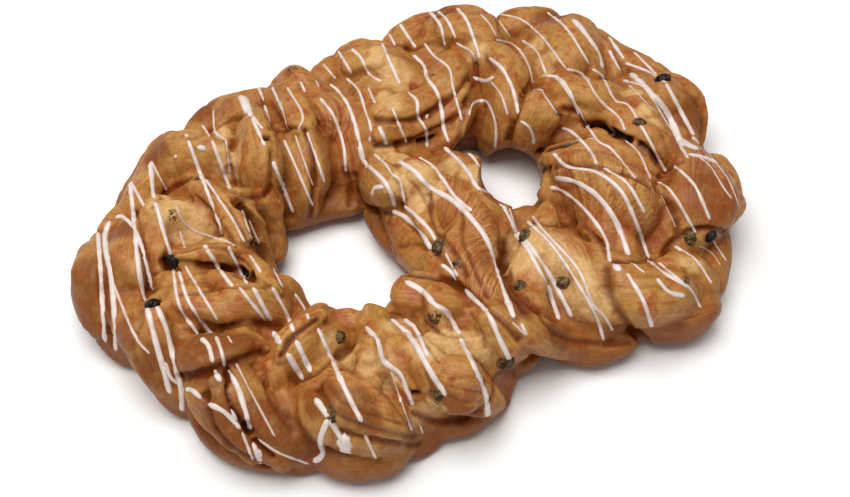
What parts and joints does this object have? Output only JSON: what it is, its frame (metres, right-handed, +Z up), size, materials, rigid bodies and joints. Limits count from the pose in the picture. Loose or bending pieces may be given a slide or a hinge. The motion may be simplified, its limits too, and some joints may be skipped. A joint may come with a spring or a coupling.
{
  "type": "braided kringle",
  "caption": "Large sweet yeast-dough pastry: a three-strand braid laid as a pretzel with two openings, raisins showing in the brown crust and white icing drizzled over it.",
  "frame": {"origin": "on the flat base, under the middle of the bounding box", "axes": "+X across the two lobes, +Y from the cleft where the ends meet to the belly of the pretzel, +Z up"},
  "size_m": [0.457, 0.3312, 0.0669],
  "materials": {
    "crust": "baked crust, slightly glossy, with white icing",
    "raisin": "dried fruit, wrinkled, slightly glossy"
  },
  "bodies": {
    "root": {"dough": "crust", "raisin_01": "raisin", "raisin_02": "raisin", "raisin_03": "raisin", "raisin_04": "raisin", "raisin_05": "raisin", "raisin_06": "raisin", "raisin_07": "raisin", "raisin_08": "raisin", "raisin_09": "raisin", "raisin_10": "raisin", "raisin_11": "raisin", "raisin_12": "raisin", "raisin_13": "raisin", "raisin_14": "raisin", "raisin_15": "raisin", "raisin_16": "raisin", "raisin_17": "raisin", "raisin_18": "raisin", "raisin_19": "raisin", "raisin_20": "raisin", "raisin_21": "raisin", "raisin_22": "raisin", "raisin_23": "raisin", "raisin_24": "raisin", "raisin_25": "raisin", "raisin_26": "raisin"}
  },
  "joints": []
}
